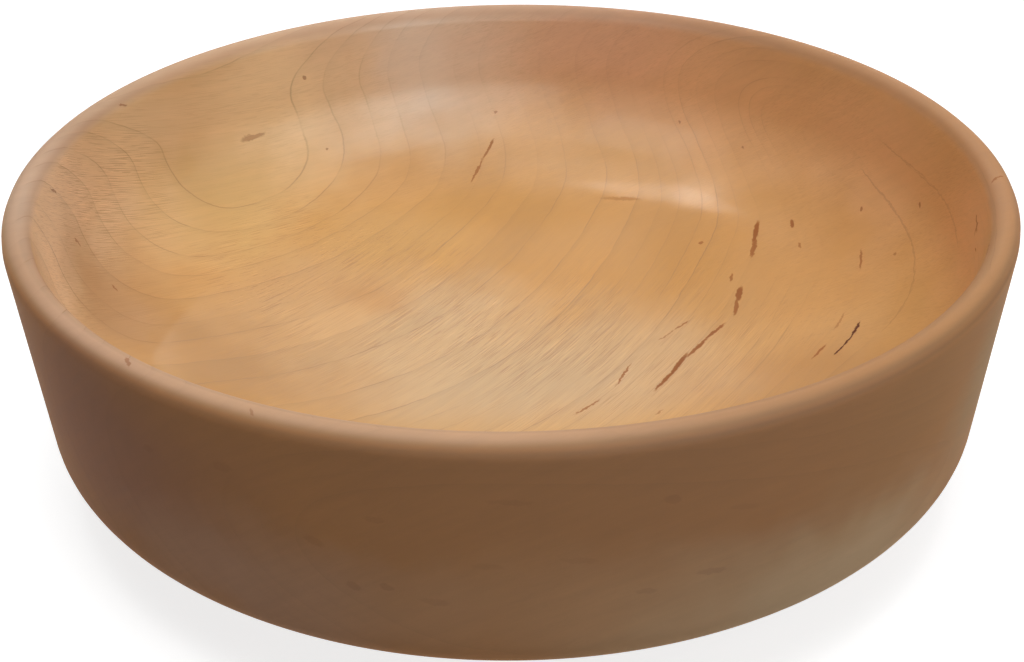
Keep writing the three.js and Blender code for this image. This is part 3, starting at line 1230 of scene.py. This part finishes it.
def build_world():
    """White behind the bowl, a soft grey sky for the light."""
    world = bpy.data.worlds.new("sky")
    world.use_nodes = True
    bpy.context.scene.world = world
    tree = world.node_tree
    sky = tree.nodes["Background"]
    strength = calc(tree, "MULTIPLY_ADD", add_look_test(tree), 1 - SKY_LIGHT, SKY_LIGHT)
    sky.inputs["Color"].default_value = (1, 1, 1, 1)
    tree.links.new(strength, sky.inputs["Strength"])


build_world()
bpy.context.scene.view_settings.view_transform = "Standard"
print("the sky lights the bowl at", SKY_LIGHT)

# %% [markdown]
# ## The soft light
#
# Large soft lamps stand round the bowl, as in a small studio: two overhead, and a ring of weaker ones at
# the sides. They make no spots of shine. Their strengths were set by comparing the light and shade of the
# photograph with what each lamp does alone.

# %% Soft lamps
SOFT_LAMPS = [  # name, heading, climb, watts
    ("overhead", 0, 89, 8.3), ("overhead_front", 180, 76, 8.8), ("back_right", 45, 35, 2.4),
    ("right", 90, 35, 1.6), ("front_right", 135, 35, 1.6), ("back_left", 315, 35, 1.4),
]
LAMP_DISTANCE = 1.5
LAMP_SIZE = 0.75


def add_lamp(name, place, width, height, watts, colour=(1, 1, 1)):
    """A soft rectangular lamp, facing straight down."""
    data = bpy.data.lights.new(name, "AREA")
    data.shape = "RECTANGLE"
    data.energy = watts
    data.size = width
    data.size_y = height
    data.color = colour
    lamp = bpy.data.objects.new(name, data)
    lamp.location = place
    lamp.visible_camera = False
    bpy.context.scene.collection.objects.link(lamp)
    return lamp


def face_bowl(lamp):
    """Turns a lamp towards the bowl, with its top edge level."""
    aim = lamp.location - Vector((0, 0, HEIGHT / 2))
    lamp.rotation_euler = aim.to_track_quat("Z", "Y").to_euler()


def add_ring_lamp(name, heading_degrees, climb_degrees, watts, colour=(1, 1, 1)):
    """A large square lamp at its heading and climb from the bowl."""
    turn = radians(heading_degrees)
    climb = radians(climb_degrees)
    way = Vector((sin(turn) * cos(climb), cos(turn) * cos(climb), sin(climb)))
    place = way * LAMP_DISTANCE + Vector((0, 0, HEIGHT / 2))
    lamp = add_lamp(name, place, LAMP_SIZE, LAMP_SIZE, watts, colour)
    face_bowl(lamp)
    return lamp


for row in SOFT_LAMPS:
    add_ring_lamp(*row).visible_glossy = False
print(len(SOFT_LAMPS), "soft lamps")

# %% [markdown]
# ## The shine
#
# An oiled bowl shows the room's windows as soft bright sheets on its floor and walls. These lamps stand
# where the windows would be. They only shine: they are left out of the soft light, so their strength can
# be set without making the wood paler. They are a little blue, as daylight is.

# %% Lamps that only shine
SHINE_LAMPS = [  # name, heading, climb, watts
    ("window_right", 120, 12, 7.5), ("window_front_right", 150, 12, 17.0), ("window_front", 180, 12, 10.5),
    ("window_high_right", 135, 42, 12.5), ("window_high_front", 180, 42, 9.5),
    ("window_high_left", 225, 42, 11.0), ("skylight_left", 270, 70, 6.5),
    ("skylight_front", 180, 70, 3.2), ("side_window", 90, 12, 2.5),
]
SHINE_COLOUR = (0.75, 0.93, 1.0)

for row in SHINE_LAMPS:
    add_ring_lamp(*row, SHINE_COLOUR).visible_diffuse = False
print(len(SHINE_LAMPS), "lamps that only shine")

# %% [markdown]
# ## Three windows
#
# A tall window behind the bowl lays the pale sheen on the floor. Two small ones in the roof give the
# bright spot in the far cove. Like the lamps before, they only shine.

# %% Windows
ROOF_WINDOWS = [  # name, place in metres, width, height, watts, turn in degrees
    ("roof_window_near", (-0.27, 0.27, 1.2), 0.20, 0.28, 2.4, 10),
    ("roof_window_far", (-0.47, 0.30, 1.2), 0.24, 0.36, 4.1, 12),
]

back_window = add_lamp("back_window", place=(0.09, 1.5, 1.3), width=0.75, height=1.8, watts=22.5,
                       colour=(0.7, 0.92, 1.0))
face_bowl(back_window)
back_window.visible_diffuse = False
for *row, turn in ROOF_WINDOWS:
    lamp = add_lamp(*row)
    lamp.rotation_euler = (0, 0, radians(turn))
    lamp.visible_diffuse = False
print(1 + len(ROOF_WINDOWS), "windows")

# %% [markdown]
# ## The bowl's size
#
# The visible bowl must fill the same box as the solid one. Its size is printed.

# %% Print the bowl's size and finish
print("the visible bowl is", [round(v / MM, 2) for v in bowl.dimensions], "mm")
